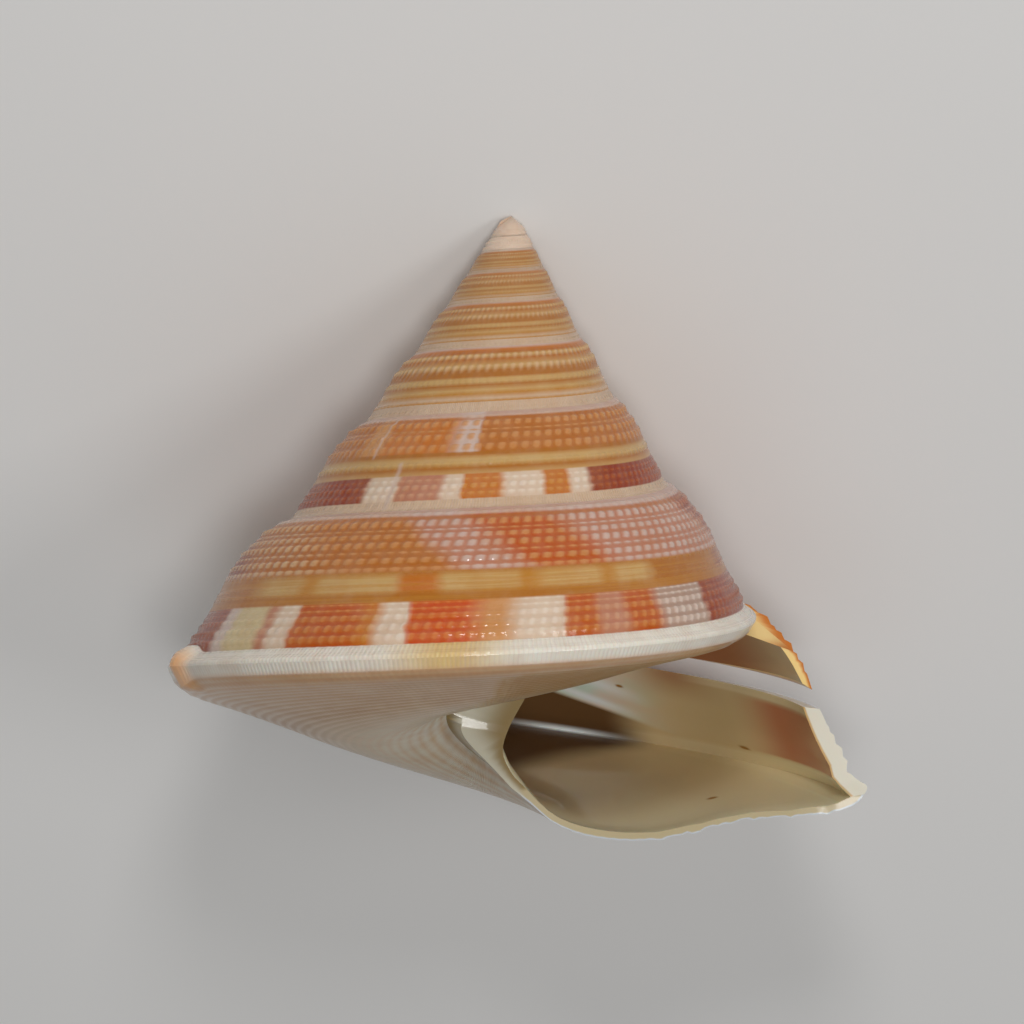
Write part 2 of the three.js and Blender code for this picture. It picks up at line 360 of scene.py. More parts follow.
CLOSER_NICKS = 1.73  # a second row of nicks is closer by this, which makes them uneven
NICKS_FROM = 0.45  # share of the radius, as the lip is smooth nearer to the axis
LIP_NICK_REACH = 0.014
KEEL_LEAD = SLANT * (1 / SUTURE_SHARE - 0.5)


def curve(knots, steps):
    """A smooth curve through the knots, with this many points from each to the next."""
    knots = np.array(knots, float)
    ends = np.concatenate([2 * knots[:1] - knots[1:2], knots, 2 * knots[-1:] - knots[-2:-1]])
    made = []
    for a, b, c, d in zip(ends, ends[1:], ends[2:], ends[3:]):
        s = np.arange(steps)[:, None] / steps
        made.append(b + s * (c - a) / 2 + s**2 * (a - 2.5 * b + 2 * c - d / 2)
                    + s**3 * (1.5 * (b - c) + (d - a) / 2))
    return np.concatenate([*made, knots[-1:]])


def underside(turn, share, drop):
    """Distance from the axis and height of a point of the underside."""
    edge = keel(turn)
    chip = LIP_CHIP * hump((share - LIP_CHIP_AT) / LIP_CHIP_WIDTH)
    back = np.minimum(turn, 0)
    left = 1 - (LIP_WEAR + chip) * np.exp(back / LIP_WEAR_REACH)
    nicks = np.sin(2 * np.pi * LIP_NICKS * share)
    nicks = nicks + np.sin(2 * np.pi * LIP_NICKS * CLOSER_NICKS * share)
    left = left - LIP_NICK * nicks * np.exp(back / LIP_NICK_REACH) * (share > NICKS_FROM)
    return np.stack([edge[..., 0] * share, edge[..., 1] - edge[..., 0] * drop * left], -1)


lap_lines = np.arange(-LAP, 1)
keel_rows = np.array([(*row, LOWER_BEADS) for row in KEEL_ROWS])
joined = suture[lap_lines - FIRST]
joined = surface.corners(joined, turn_of_side(lap_lines, SUTURE_SHARE), SUTURE_SHARE, OUTSIDE)
keel_grid = np.column_stack([joined, side_corners(lap_lines, keel_rows)])
surface.sheet(keel_grid)

profile = curve(UNDERSIDE, UNDERSIDE_POINTS)[::-1]
under_share = np.linspace(UNDERSIDE[0][0], UNDERSIDE[-1][0], 2 * UNDERSIDE_THREADS + 1)
under_drop = np.interp(under_share, profile[:, 0], profile[:, 1])
thread = np.arange(len(under_share)) % 2
axis_share = UNDERSIDE[-1][0]


def turn_under(line, share):
    return (line + KEEL_LEAD * (share - axis_share) / (1 - axis_share)) / LINES


def under_corners(lines, first, end, zone):
    """A grid of corners on the underside, from one of its rows to another."""
    share = under_share[first:end]
    turn = turn_under(lines[:, None], share)
    section = underside(turn, share, under_drop[first:end])
    section[..., 1] -= THREAD_HEIGHT * thread[first:end] * share
    return surface.add(wound(turn, section), turn, 2 - share, zone, thread[first:end])


under_lines = lap_lines[::UNDERSIDE_STEP]
under = under_corners(under_lines, 0, len(under_share), OUTSIDE)
surface.strip(keel_grid[:, -1], under[:, 0])
surface.sheet(under)

# The hollow that the snail lived in, mother-of-pearl all round. Its roof is the underside of the
# whorl above, it turns round the pillar at the axis, and its floor and outer wall run out to the
# thin lip. It is open at the slit. In it share runs on from the slit: 0 to 1 is the wall above the
# slit, 1 to 2 the ceiling, 2 to 4 the pillar and the floor, and 4 to 5 the wall below the slit.
PILLAR_SHARE, WALL_SHARE = 2, 4
HOLLOW_LINES = 740
HOLLOW_STEP = 5
LIP_WALL = 1.2  # millimetres, the thickness of the wall
LIP_THINNING = 0.55
LIP_THINNING_REACH = 40
SLIT_BEVEL = 0.05
ROOF_WALL = [SLIT_TOP, 0.41, 0.36, 0.31, 0.26, 0.21, 0.165, 0.12]
CREASE = [0.985]  # between the floor and the outer wall, under the keel
OUTER_WALL = [0.92, 0.87, 0.82, 0.76, 0.7, 0.645, 0.585, SLIT_BOTTOM]
# Round the pillar and out along the floor: share of the keel's radius, drop, share of the wall.
FLOOR = [
    (0.098, -0.25, 0), (0.058, -0.15, 0), (0.044, -0.073, 0), (0.066, -0.0105, 0),
    (0.101, 0.035, 0), (0.2, 0.157, 1), (0.34, 0.194, 1), (0.5, 0.183, 1), (0.66, 0.14, 1),
    (0.84, 0.094, 1), (0.93, 0.068, 1),
]
FLOOR_STEPS = 4
PILLAR_POINTS = 4 * FLOOR_STEPS + 1  # of the floor's points, those on the pillar
CEILING_FROM, CEILING_TO = 0.925, 0.28
ceiling_first = int(np.argmax(under_share <= CEILING_FROM))
ceiling_end = int(np.argmax(under_share < CEILING_TO))


def thinned(line):
    return 1 - LIP_THINNING * hump(line / LIP_THINNING_REACH)


def wall_corners(lines, shares, wall, start, relief=0.0):
    """The inside of the whorl's side: the outside, moved in by the wall."""
    shares = np.array(shares)
    level = np.where((shares == SLIT_TOP) | (shares == SLIT_BOTTOM), shares - SLIT_BEVEL, shares)
    turn = turn_of_side(lines[:, None], shares)
    section = side(turn, level, 0.0)
    line = keel(turn) - side(turn, 0.0, 0.0)
    inward = np.stack([line[..., 1], -line[..., 0]], -1)
    inward /= np.linalg.norm(inward, axis=-1)[..., None]
    section = section + inward * (wall * size_at(turn))[..., None]
    along = start + np.arange(len(shares)) / max(len(shares) - 1, 1)
    return surface.add(wound(turn, section), turn, along, HOLLOW, relief)


hollow_lines = -np.arange(0, HOLLOW_LINES + 1, HOLLOW_STEP)[::-1]
thin_wall = LIP_WALL * thinned(hollow_lines[:, None])
roof = wall_corners(hollow_lines, ROOF_WALL, thin_wall, 0)
crease = wall_corners(hollow_lines, CREASE, LIP_WALL, WALL_SHARE, 1.0)
outer_wall = wall_corners(hollow_lines, OUTER_WALL, LIP_WALL, WALL_SHARE)
ceiling = under_corners(hollow_lines - LAP, ceiling_first, ceiling_end, HOLLOW)
above = under[0]
ceiling[-1] = surface.again(above[ceiling_first:ceiling_end], HOLLOW)
floor_radius, floor_drop, walled = curve(FLOOR, FLOOR_STEPS).T
floor_turn = (hollow_lines[:, None] + KEEL_LEAD * floor_radius) / LINES
floor_section = underside(floor_turn, floor_radius, floor_drop)
floor_section[..., 1] += walled * thin_wall * size_at(floor_turn)
floor_share = np.linspace(PILLAR_SHARE, WALL_SHARE, len(floor_radius))
floor = surface.add(wound(floor_turn, floor_section), floor_turn, floor_share, HOLLOW)

inside = np.column_stack([roof, ceiling, floor, crease, outer_wall])
closed = hollow_lines <= -SLIT_LINES
open_part = hollow_lines >= -SLIT_LINES
surface.sheet(np.column_stack([inside[closed], inside[closed][:, 0]]))
surface.sheet(inside[open_part])
back = inside[0]
middle = surface.positions[surface.point[back]].mean(0)
hub = surface.add(middle[None], hollow_lines[0] / LINES, 1.0, HOLLOW)
around = np.roll(back, -1)
surface.faces.append(np.stack([back, around, np.full(len(back), hub[0])], -1))

# The lip: the thin bare edges of the slit and of the mouth, and the callus at the axis, whose pearly
# ridge runs from the foot of the lip up to the underside. They close the shell between points that
# are there already. The ridge's own are given as distance from the axis and height.
RIDGE = [(2.1, -42.7), (0.5, -41.15), (-1.7, -39), (-1.9, -37.6), (-1, -35), (0.8, -32.4)]
RIDGE_STEPS = 4
OUTER_EDGE, INNER_EDGE = 1.0, 0.0  # relief across the lip
BY_ROOF, BY_FLOOR, BY_WALL = 0.0, 3.0, 4.5  # share along the lip, which chooses its colour

slit_walls = []
for row, column in ((slit_top, 0), (slit_bottom, -1)):
    outside_row = surface.again(last[slit_start:, row], RIM, OUTER_EDGE)
    slit_walls.append((outside_row, surface.again(inside[open_part][:, column], RIM, INNER_EDGE)))
surface.strip(slit_walls[0][0][::-1], slit_walls[0][1][::-1])
surface.strip(slit_walls[1][1][::-1], slit_walls[1][0][::-1])
across = surface.again(last[slit_start, slit_top:slit_bottom + 1], RIM, OUTER_EDGE)
surface.strip(across, np.array([slit_walls[0][1][0], slit_walls[1][1][0]]))

lip = surface.again(last[-1, :slit_top + 1], RIM, OUTER_EDGE)
lip_wall = surface.again(last[-1, slit_bottom:], RIM, OUTER_EDGE, BY_WALL)
lip_keel = surface.again(keel_grid[-1], RIM, OUTER_EDGE, BY_WALL)
lip_under = surface.again(under[-1], RIM, OUTER_EDGE, BY_FLOOR)
above_keel = surface.again(keel_grid[0], RIM, INNER_EDGE, BY_ROOF)
above_under = surface.again(above, RIM, INNER_EDGE, BY_ROOF)
ceiling_at = len(ROOF_WALL)
floor_at = ceiling_at + ceiling.shape[1]
mouth = inside[-1]
mouth_roof = surface.again(mouth[:ceiling_at], RIM, INNER_EDGE, BY_ROOF)
mouth_ceiling = surface.again(mouth[ceiling_at:floor_at], RIM, INNER_EDGE, BY_ROOF)
mouth_floor = surface.again(mouth[floor_at:], RIM, INNER_EDGE)
mouth_floor[:PILLAR_POINTS] = surface.again(mouth[floor_at:][:PILLAR_POINTS], CALLUS)
beside_roof = np.concatenate([above_keel, above_under[:ceiling_first], mouth_ceiling[:1]])
surface.strip(lip, np.concatenate([beside_roof, mouth_roof[::-1]]))

ridge_at = curve(RIDGE, RIDGE_STEPS)
ridge = surface.add(np.insert(ridge_at, 1, 0.0, axis=1), 0.0, 0.0, CALLUS, 1.0)
foot, head = lip_under[-1:], surface.again(above[-1:], CALLUS, 1.0)
lower_lip = np.concatenate([lip_wall, lip_keel[1:], lip_under, ridge, head])
beside_ceiling = surface.again(above[ceiling_end - 1:], CALLUS)
surface.strip(lower_lip, np.concatenate([mouth_floor[::-1], beside_ceiling]))
centre = surface.again(under[:, -1], CALLUS)
surface.strip(np.concatenate([head, ridge[::-1], foot]), centre)

# The knob that stands out on the keel at the side away from the mouth. It is a swelling of the wall
# itself, about 0.8 mm high, and it pushes out what lies round its middle.
KNOB_AT = -0.512  # turns
KNOB_RISE = 1.3
KNOB_DEPTH = 0.9  # of its middle inside the keel, in millimetres
KNOB_SIZE = 1.3
knob = wound(np.array(KNOB_AT), keel(KNOB_AT))
out_of_axis = np.array([knob[0], knob[1], 0.0]) / np.hypot(knob[0], knob[1])
from_knob = surface.positions - (knob - out_of_axis * KNOB_DEPTH)
distance = np.linalg.norm(from_knob, axis=-1)[:, None]
surface.positions += from_knob / distance * KNOB_RISE * hump(distance / KNOB_SIZE)

# The shell as one closed mesh in metres, laid on the table on its tip and the back of its last
# whorl. The tip is also where the solid model has it, which places the rest.
SPIN, LEAN, TURNED = np.radians([11.659, -125.716, -176.891])
SHARP = np.radians(50)  # edges with a greater angle than this aren't smoothed
pose = (Matrix.Rotation(TURNED, 3, "Z") @ Matrix.Rotation(LEAN, 3, "X")
        @ Matrix.Rotation(SPIN, 3, "Z"))
tipward = pose @ Vector((0, 0, 1))
solid_tip = max((v.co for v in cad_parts["shell"].data.vertices), key=tipward.dot)
shift = solid_tip - tipward * APEX_RISE * MM


def in_frame(point):
    """Where a point of the upright shell, in millimetres, lies in the frame."""
    return pose @ Vector(point) * MM + shift


faces = np.concatenate(surface.faces)
points = surface.point[faces]
whole = (points != np.roll(points, 1, axis=1)).all(axis=1)
faces, points = faces[whole], points[whole]
used, numbers = np.unique(points, return_inverse=True)
numbers = numbers.reshape(points.shape)
positions = surface.positions[used] @ np.array(pose).T * MM + np.array(shift)

mesh = bpy.data.meshes.new("shell_pearl")
mesh.vertices.add(len(positions))
mesh.vertices.foreach_set("co", positions.ravel())
mesh.loops.add(faces.size)
mesh.loops.foreach_set("vertex_index", numbers.ravel())
mesh.polygons.add(len(faces))
mesh.polygons.foreach_set("loop_start", np.arange(0, faces.size, 3))
mesh.update(calc_edges=True)
mesh.shade_smooth()
mesh.set_sharp_from_angle(angle=SHARP)
growth = mesh.attributes.new("growth", "FLOAT_VECTOR", "CORNER")
growth.data.foreach_set("vector", surface.pattern[faces.ravel(), :3].ravel())
relief = mesh.attributes.new("relief", "FLOAT", "CORNER")
relief.data.foreach_set("value", surface.pattern[faces.ravel(), 3].copy())

shell = bpy.data.objects.new("shell_pearl", mesh)
bpy.context.collection.objects.link(shell)
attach(shell, "root")
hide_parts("shell")

# The colours of the outside. Flames of brick red and white run between the slit band and the white
# keel, the beads are paler than the grooves, and older whorls fade to ochre and a pale pink tip.
# They are stained into the wall, under a thin natural gloss.
SCREEN_STEP = 0.04045


def colour(red, green, blue):
    """A colour as a screen shows it, from 0 to 255, as a socket takes it."""
    screen = np.array([red, green, blue]) / 255
    linear = np.where(screen <= SCREEN_STEP, screen / 12.92, ((screen + 0.055) / 1.055) ** 2.4)
    return (*linear, 1.0)


class Value:
    """An output of one of a material's nodes. Arithmetic on it adds Math nodes."""

    def __init__(self, tree, socket=None):
        self.tree = tree
        self.socket = socket

    def node(self, kind, settings=None, inputs=None, output=0):
        """Adds a node, with its settings first and then the values or links of its sockets."""
        made = self.tree.nodes.new(kind)
        for name, setting in (settings or {}).items():
            if name == "stops":
                stops = made.color_ramp.elements
                for number, (at, shade) in enumerate(setting):
                    stop = stops[number] if number < 2 else stops.new(at)
                    stop.position = at
                    stop.color = shade
            else:
                setattr(made, name, setting)
        for name, given in (inputs or {}).items():
            if isinstance(given, Value):
                self.tree.links.new(given.socket, made.inputs[name])
            else:
                made.inputs[name].default_value = given
        return Value(self.tree, made.outputs[output])

    def math(self, operation, *others):
        return self.node("ShaderNodeMath", {"operation": operation},
                         dict(enumerate([self, *others])))

    def __add__(self, other):
        return self.math("ADD", other)

    def __sub__(self, other):
        return self.math("SUBTRACT", other)

    def __mul__(self, other):
        return self.math("MULTIPLY", other)

    def __rsub__(self, other):
        return self * -1 + other

    __radd__ = __add__
    __rmul__ = __mul__

    def above(self, edge, softness):
        """0 below the edge and 1 above it, changing over this softness on both sides."""
        return self.node("ShaderNodeMapRange", {"interpolation_type": "SMOOTHSTEP"}, {
            "Value": self, "From Min": edge - softness, "From Max": edge + softness})

    def near(self, middle, reach):
        """1 at the middle, fading to 0 at this reach on both sides."""
        return 1 - (self - middle).math("ABSOLUTE").above(reach / 2, reach / 2)

    def waves(self, number):
        """This many waves in each turn, from -1 to 1."""
        return (self * (2 * np.pi * number)).math("SINE")

    def between(self, low, high):
        """A colour that is low where this is 0 and high where it is 1."""
        return self.node("ShaderNodeMix", {"data_type": "RGBA"}, {0: self, 6: low, 7: high}, 2)

    def bands(self, stops):
        """Colours along this value, each at its place."""
        return self.node("ShaderNodeValToRGB", {"stops": stops}, {0: self})

    def flames(self, first, end, stains):
        """Colours from the first turn to the end, and back and forth beyond them.

        Each stain starts at a turn, where it fades in over a softness on both sides.
        """
        span = end - first
        stops = [(0.0, stains[0][2])]
        for (_, _, before), (at, softness, after) in zip(stains, stains[1:]):
            stops.append(((at - softness - first) / span, before))
            stops.append(((at + softness - first) / span, after))
        return ((self - first) * (1 / span)).math("PINGPONG", 1.0).bands(stops)


DARK_RED = colour(148, 48, 8)
RED = colour(192, 84, 20)
BRIGHT_RED = colour(206, 76, 16)
ORANGE = colour(202, 116, 40)
PALE_ORANGE = colour(212, 150, 92)
PINK = colour(194, 128, 100)
LILAC = colour(214, 190, 178)
# Painted shade: a darker copy of LILAC for the flame at turn -0.879.
LILAC_IN_PAINTED_SHADE = colour(180, 148, 130)
WHITE = colour(224, 198, 172)
YELLOW_WHITE = colour(218, 196, 150)
OCHRE = colour(196, 134, 50)
DARK_OCHRE = colour(180, 110, 32)
PALE_OCHRE = colour(208, 168, 106)
BROWN_ORANGE = colour(186, 108, 38)
CREAM = colour(242, 236, 222)
YELLOW_CREAM = colour(232, 200, 134)
TIP_PINK = colour(232, 208, 186)
KNOB_ORANGE = colour(252, 186, 124)
OLD_BROWN = colour(178, 136, 92)
OLD_WHITE = colour(214, 184, 154)
BEAD_TAN = colour(224, 186, 142)

PALER = {  # the same stains on the tops of the beads
    DARK_RED: colour(174, 84, 34), RED: colour(214, 140, 76), BRIGHT_RED: colour(222, 134, 72),
    ORANGE: colour(214, 150, 78), PINK: colour(212, 160, 126), LILAC: colour(226, 206, 190),
    LILAC_IN_PAINTED_SHADE: colour(230, 210, 196), WHITE: colour(240, 222, 204),
}

FRONT = -1.0, -0.46  # turns of the last whorl that are seen from the side of the mouth

# The turn where a stain starts, how soft its edge is, and the stain.
# The flame at -0.879 is lilac in painted shade.
LOWER_FLAMES = [
    (-1.0, 0, DARK_RED), (-0.879, 0.002, LILAC_IN_PAINTED_SHADE), (-0.832, 0.005, RED), (-0.807, 0.004, PINK),
    (-0.788, 0.003, RED), (-0.767, 0.0015, WHITE), (-0.735, 0.006, PALE_ORANGE),
    (-0.714, 0.008, BRIGHT_RED), (-0.6745, 0.0015, WHITE), (-0.656, 0.004, ORANGE),
    (-0.645, 0.004, RED), (-0.600, 0.0015, WHITE), (-0.584, 0.003, PINK),
    (-0.575, 0.003, YELLOW_WHITE), (-0.545, 0.004, LILAC), (-0.532, 0.003, DARK_RED),
]
UPPER_GROOVES = [
    (-1.0, 0, DARK_RED), (-0.93, 0.012, PINK), (-0.78, 0.012, RED), (-0.72, 0.010, PINK),
    (-0.675, 0.008, BROWN_ORANGE), (-0.50, 0.015, DARK_RED),
]
UPPER_BEADS_STAIN = [
    (-1.0, 0, PINK), (-0.93, 0.012, LILAC), (-0.78, 0.012, PALE_ORANGE), (-0.72, 0.010, LILAC),
    (-0.675, 0.008, PALE_ORANGE), (-0.585, 0.015, BEAD_TAN),
]
SLIT_BAND = [
    (-1.0, 0, DARK_RED), (-0.925, 0.010, DARK_OCHRE), (-0.834, 0.006, PALE_OCHRE),
    (-0.806, 0.004, OCHRE), (-0.795, 0.004, PALE_OCHRE), (-0.752, 0.006, OCHRE),
    (-0.740, 0.003, PALE_OCHRE), (-0.690, 0.004, ORANGE), (-0.664, 0.004, PALE_OCHRE),
    (-0.606, 0.004, OCHRE), (-0.595, 0.004, PALE_OCHRE), (-0.556, 0.010, DARK_OCHRE),
]
SECOND_FRONT = -2.0, -1.46
SECOND_FLAMES = [
    (-2.0, 0, DARK_RED), (-1.812, 0.003, WHITE), (-1.790, 0.003, ORANGE), (-1.765, 0.003, WHITE),
    (-1.727, 0.004, ORANGE), (-1.690, 0.002, WHITE), (-1.672, 0.004, PINK), (-1.630, 0.002, WHITE),
    (-1.597, 0.003, DARK_RED),
]
SECOND_GROOVES = [
    (-2.0, 0, BROWN_ORANGE), (-1.700, 0.002, LILAC), (-1.674, 0.008, ORANGE),
    (-1.592, 0.002, PALE_ORANGE), (-1.565, 0.004, BROWN_ORANGE),
]
SPIRE_BANDS = [  # of the older whorls, by share
    (0.0, LILAC), (0.05, ORANGE), (0.10, BROWN_ORANGE), (0.15, PALE_OCHRE), (0.20, BROWN_ORANGE),
    (0.31, PALE_OCHRE), (0.37, DARK_OCHRE), (0.45, DARK_OCHRE), (0.49, PALE_OCHRE),
    (0.53, PALE_OCHRE), (0.57, DARK_OCHRE), (0.64, PALE_OCHRE), (0.69, OCHRE), (0.76, OLD_WHITE),
    (0.80, OCHRE),
]

material = bpy.data.materials.new("shell_pearl")
material.use_nodes = True
maker = Value(material.node_tree)
grown_at = maker.node("ShaderNodeAttribute", {"attribute_name": "growth"}, output="Vector")
turn, share, zone = (
    maker.node("ShaderNodeSeparateXYZ", {}, {0: grown_at}, output) for output in range(3))
bead = maker.node("ShaderNodeAttribute", {"attribute_name": "relief"}, output="Fac")
place = maker.node("ShaderNodeTexCoord", {}, {}, "Object")


def mottle(scale, detail=3.0):
    """Even noise through the object, about 0, with this many spots in a metre."""
    return maker.node("ShaderNodeTexNoise", {}, {
        "Vector": place, "Scale": scale, "Detail": detail, "Roughness": 0.6}) - 0.5


def drawn(along_turns, along_share):
    """Noise about 0, drawn out on the wall, with this many spots in a turn and in a share."""
    spread = maker.node("ShaderNodeCombineXYZ", {}, {0: turn * along_turns, 1: share * along_share})
    return maker.node("ShaderNodeTexNoise", {}, {
        "Vector": spread, "Scale": 1.0, "Detail": 2.0, "Roughness": 0.5}) - 0.5


def paler(stains):
    """The same stains as they show on the tops of the beads."""
    return [(at, softness, PALER.get(stain, stain)) for at, softness, stain in stains]


# Where each zone of the side starts on the older whorls, by share. It lies a little further down on
# the younger ones.
BAND_FROM, FLAMES_FROM, WHITE_FROM = 0.425, 0.625, 0.805
KEEL_RIBS, UNDER_RIBS = 390, 230  # growth ribs in one turn
BEAD_SHOWS = 0.8  # how much of the paler stain a bead's top has

last_whorl = turn.above(-1.0, 0.012)
second_whorl = turn.above(-2.02, 0.02)
ragged = turn + drawn(14.0, 9.0) * 0.008 + mottle(260.0) * 0.007
slanted = ragged + (share - 0.25) * 0.135
blurred = slanted + mottle(160.0) * 0.03

# Between the suture and the slit band.
grooves = last_whorl.between(
    (ragged + mottle(300.0) * 0.02).flames(*SECOND_FRONT, SECOND_GROOVES),
    blurred.flames(*FRONT, UPPER_GROOVES))
bead_tops = last_whorl.between(PALE_ORANGE, blurred.flames(*FRONT, UPPER_BEADS_STAIN))
spire = share.bands(SPIRE_BANDS)
upper = second_whorl.between(spire, grooves)
upper = (share.near(0.088, 0.03) * second_whorl * 0.6).between(upper, BROWN_ORANGE)
on_bead = bead.above(0.56, 0.32)
bead_tops = second_whorl.between(BEAD_TAN, bead_tops)
upper = (on_bead * BEAD_SHOWS).between(upper, bead_tops)
upper = ((1 - share.above(0.065, 0.012)) * second_whorl * 0.7).between(upper, LILAC)

# The slit band, once the slit. It is ochre, with pale patches between two darker lines.
band = last_whorl.between(spire, ragged.flames(*FRONT, SLIT_BAND))
edge_lines = last_whorl * (1 - share.near(0.525, 0.085).above(0.35, 0.35))
band = (edge_lines * 0.9).between(band, DARK_OCHRE)
streaks = drawn(10.0, 70.0).above(0.02, 0.12) * last_whorl
band = (streaks * 0.5).between(band, OCHRE)
side_colour = (share - last_whorl * 0.03).above(BAND_FROM, 0.010).between(upper, band)

# The flames, and the white band along the keel of the last whorl and above the suture of the older
# ones. Beyond them age has browned the spire, up to the pink tip.
flames = last_whorl.between(
    ragged.flames(*SECOND_FRONT, SECOND_FLAMES), ragged.flames(*FRONT, LOWER_FLAMES))
pale_flames = last_whorl.between(
    ragged.flames(*SECOND_FRONT, paler(SECOND_FLAMES)), ragged.flames(*FRONT, paler(LOWER_FLAMES)))
flames = (on_bead * BEAD_SHOWS).between(flames, pale_flames)
flames = second_whorl.between(spire, flames)
side_colour = (share - last_whorl * 0.01).above(FLAMES_FROM, 0.008).between(side_colour, flames)
keel_colour = turn.near(-0.70, 0.045).between(CREAM, YELLOW_CREAM)
keel_colour = last_whorl.between(OLD_WHITE, keel_colour)
keel_ribs = (turn.waves(KEEL_RIBS) * 0.4 + drawn(60.0, 3.0)).above(0.5, 0.6)
keel_colour = (keel_ribs * 0.55).between(keel_colour, LILAC)
white_edge = (share - last_whorl * 0.033 - second_whorl * 0.050).above(WHITE_FROM, 0.006)
side_colour = white_edge.between(side_colour, keel_colour)

AGED_BEFORE, PINK_BEFORE = -2.4, -6.35  # turns
aged = (AGED_BEFORE - turn).above(1.2, 1.6) * (1 - white_edge)
side_colour = (aged * 0.45).between(side_colour, OLD_BROWN)
side_colour = (PINK_BEFORE - turn).above(0.0, 0.25).between(side_colour, TIP_PINK)

# The underside is a plain pinkish tan, paler towards the axis, with paler threads.
THREAD_TAN = colour(222, 188, 146)
UNDER_BANDS = [
    (0.0, colour(222, 176, 138)), (0.15, colour(212, 158, 104)), (0.45, colour(186, 138, 84)),
    (0.7, colour(224, 206, 174)), (0.95, colour(240, 232, 214)),
]
under_colour = ((share - 1) * (1 / 0.9)).bands(UNDER_BANDS)
pale_threads = (bead * 0.35 + drawn(40.0, 6.0) * 0.5).above(0.25, 0.3)
under_colour = pale_threads.between(under_colour, THREAD_TAN)
outside = share.above(1.018, 0.008).between(side_colour, under_colour)

# The knob's orange top, and two thin pale lines that slant across the second whorl.
knob_top = turn.near(KNOB_AT, 0.018) * share.near(0.99, 0.09)
outside = knob_top.between(outside, KNOB_ORANGE)
lower_line = (turn + drawn(5.0, 4.0) * 0.004).near(-1.625, 0.004) * share.above(0.50, 0.02)
upper_line = (turn + drawn(5.0, 4.0) * 0.006).near(-1.588, 0.003) * (1 - share.above(0.45, 0.02))
pale_lines = (lower_line + upper_line) * (1 - share.above(0.93, 0.02))
outside = (pale_lines * 0.6).between(outside, LILAC)

# Faint mottling all over, pale and dark.
outside = (mottle(650.0).above(0.06, 0.2) * 0.12).between(outside, OLD_WHITE)
outside = ((1 - mottle(520.0).above(-0.04, 0.2)) * 0.16).between(outside, DARK_OCHRE)

# The mother-of-pearl inside. It is tan on the floor, with painted brown shade in the depth, pale
# along the crease, a red stain behind the lip and a painted silvery reflection on the wall.
FLOOR_BANDS = [
    (0.0, colour(214, 184, 134)), (0.30, colour(244, 218, 168)), (0.5, colour(232, 212, 166)),
    (0.66, colour(232, 214, 168)), (0.8, colour(242, 230, 188)), (1.0, colour(250, 246, 212)),
]
# Painted shade: the brown that the hollow darkens to in its depth.
DEPTH_SHADE_BROWN = colour(112, 80, 48)
WALL_TAN = colour(214, 184, 130)
# White of the mother-of-pearl, also used for its painted reflection.
PEARL_AND_REFLECTION_WHITE = colour(250, 253, 250)
# The pearl's pink and green, painted near-white where a reflection lies on the wall.
PEARL_PINK = colour(236, 216, 200)
PEARL_GREEN = colour(216, 230, 212)
RED_STAIN = colour(196, 112, 74)
INNER_CREAM = colour(238, 220, 178)
PINK_BROWN = colour(176, 116, 78)
out_to_lip = (turn + 0.25) * 4
floor_colour = out_to_lip.bands(FLOOR_BANDS)
streak = share + (turn + 0.158) * 5.5
# Painted shade in the depth of the hollow, away from the lip and the bright streak.
depth = (share - turn * 8).above(5.1, 0.15) * (1 - streak.above(4.29, 0.04))
depth = depth * (1 - turn.above(-0.148, 0.016))
floor_colour = (share.above(4.06, 0.06) * 0.6).between(floor_colour, WALL_TAN)
floor_colour = depth.between(floor_colour, DEPTH_SHADE_BROWN)
shine = mottle(240.0) + drawn(30.0, 4.0)
# Painted reflection: along the streak the wall is a near-white sheen of pearl pink and green.
sheen = shine.above(0.0, 0.25).between(PEARL_GREEN, PEARL_PINK)
on_wall = streak.above(4.29, 0.04) * (1 - turn.above(-0.145, 0.03))
inside_colour = on_wall.between(floor_colour, sheen)
# Painted reflection: the whitest spots on the streak.
painted_reflection = streak.near(4.37, 0.09) * turn.near(-0.172, 0.034)
painted_reflection = painted_reflection + streak.near(4.62, 0.14) * turn.near(-0.165, 0.035) * 0.7
inside_colour = (painted_reflection + shine * 0.3 * painted_reflection).between(inside_colour, PEARL_AND_REFLECTION_WHITE)
thin_line = bead.above(0.6, 0.35) * share.above(3.9, 0.05) * turn.near(-0.185, 0.045)
inside_colour = thin_line.between(inside_colour, PEARL_AND_REFLECTION_WHITE)
red_patch = turn.above(-0.062, 0.024) * share.above(4.12, 0.03) * (1 - share.above(4.85, 0.05))
inside_colour = (red_patch * 0.9).between(inside_colour, RED_STAIN)
# Painted shade: pinkish brown on the wall just below the slit, inside the mouth.
slit_painted_shade = turn.near(-0.118, 0.04) * share.above(4.75, 0.2)
inside_colour = (slit_painted_shade * 0.7).between(inside_colour, PINK_BROWN)
cream_lines = share.near(4.01, 0.03) * turn.above(-0.13, 0.03) * 0.6
cream_lines = cream_lines + share.above(4.88, 0.03) * turn.above(-0.10, 0.02) * 0.8
inside_colour = cream_lines.between(inside_colour, INNER_CREAM)
above_slit = turn.above(-0.035, 0.045).between(PINK_BROWN, INNER_CREAM)
inside_colour = (1 - share.above(1.0, 0.1)).between(inside_colour, above_slit)

# Brown specks of dirt: turn, share, and how far each reaches in turns and in share.
SPECKS = [
    (-0.081, 4.123, 0.005, 0.045), (-0.152, 4.662, 0.003, 0.03), (-0.054, 3.651, 0.003, 0.025),
]
SPECK_BROWN = colour(168, 122, 62)
for at, level, reach, tall in SPECKS:
    speck = (turn + (share - level) * 0.02).near(at, reach) * share.near(level, tall)
    inside_colour = (speck * 1.6).math("MINIMUM", 1.0).between(inside_colour, SPECK_BROWN)
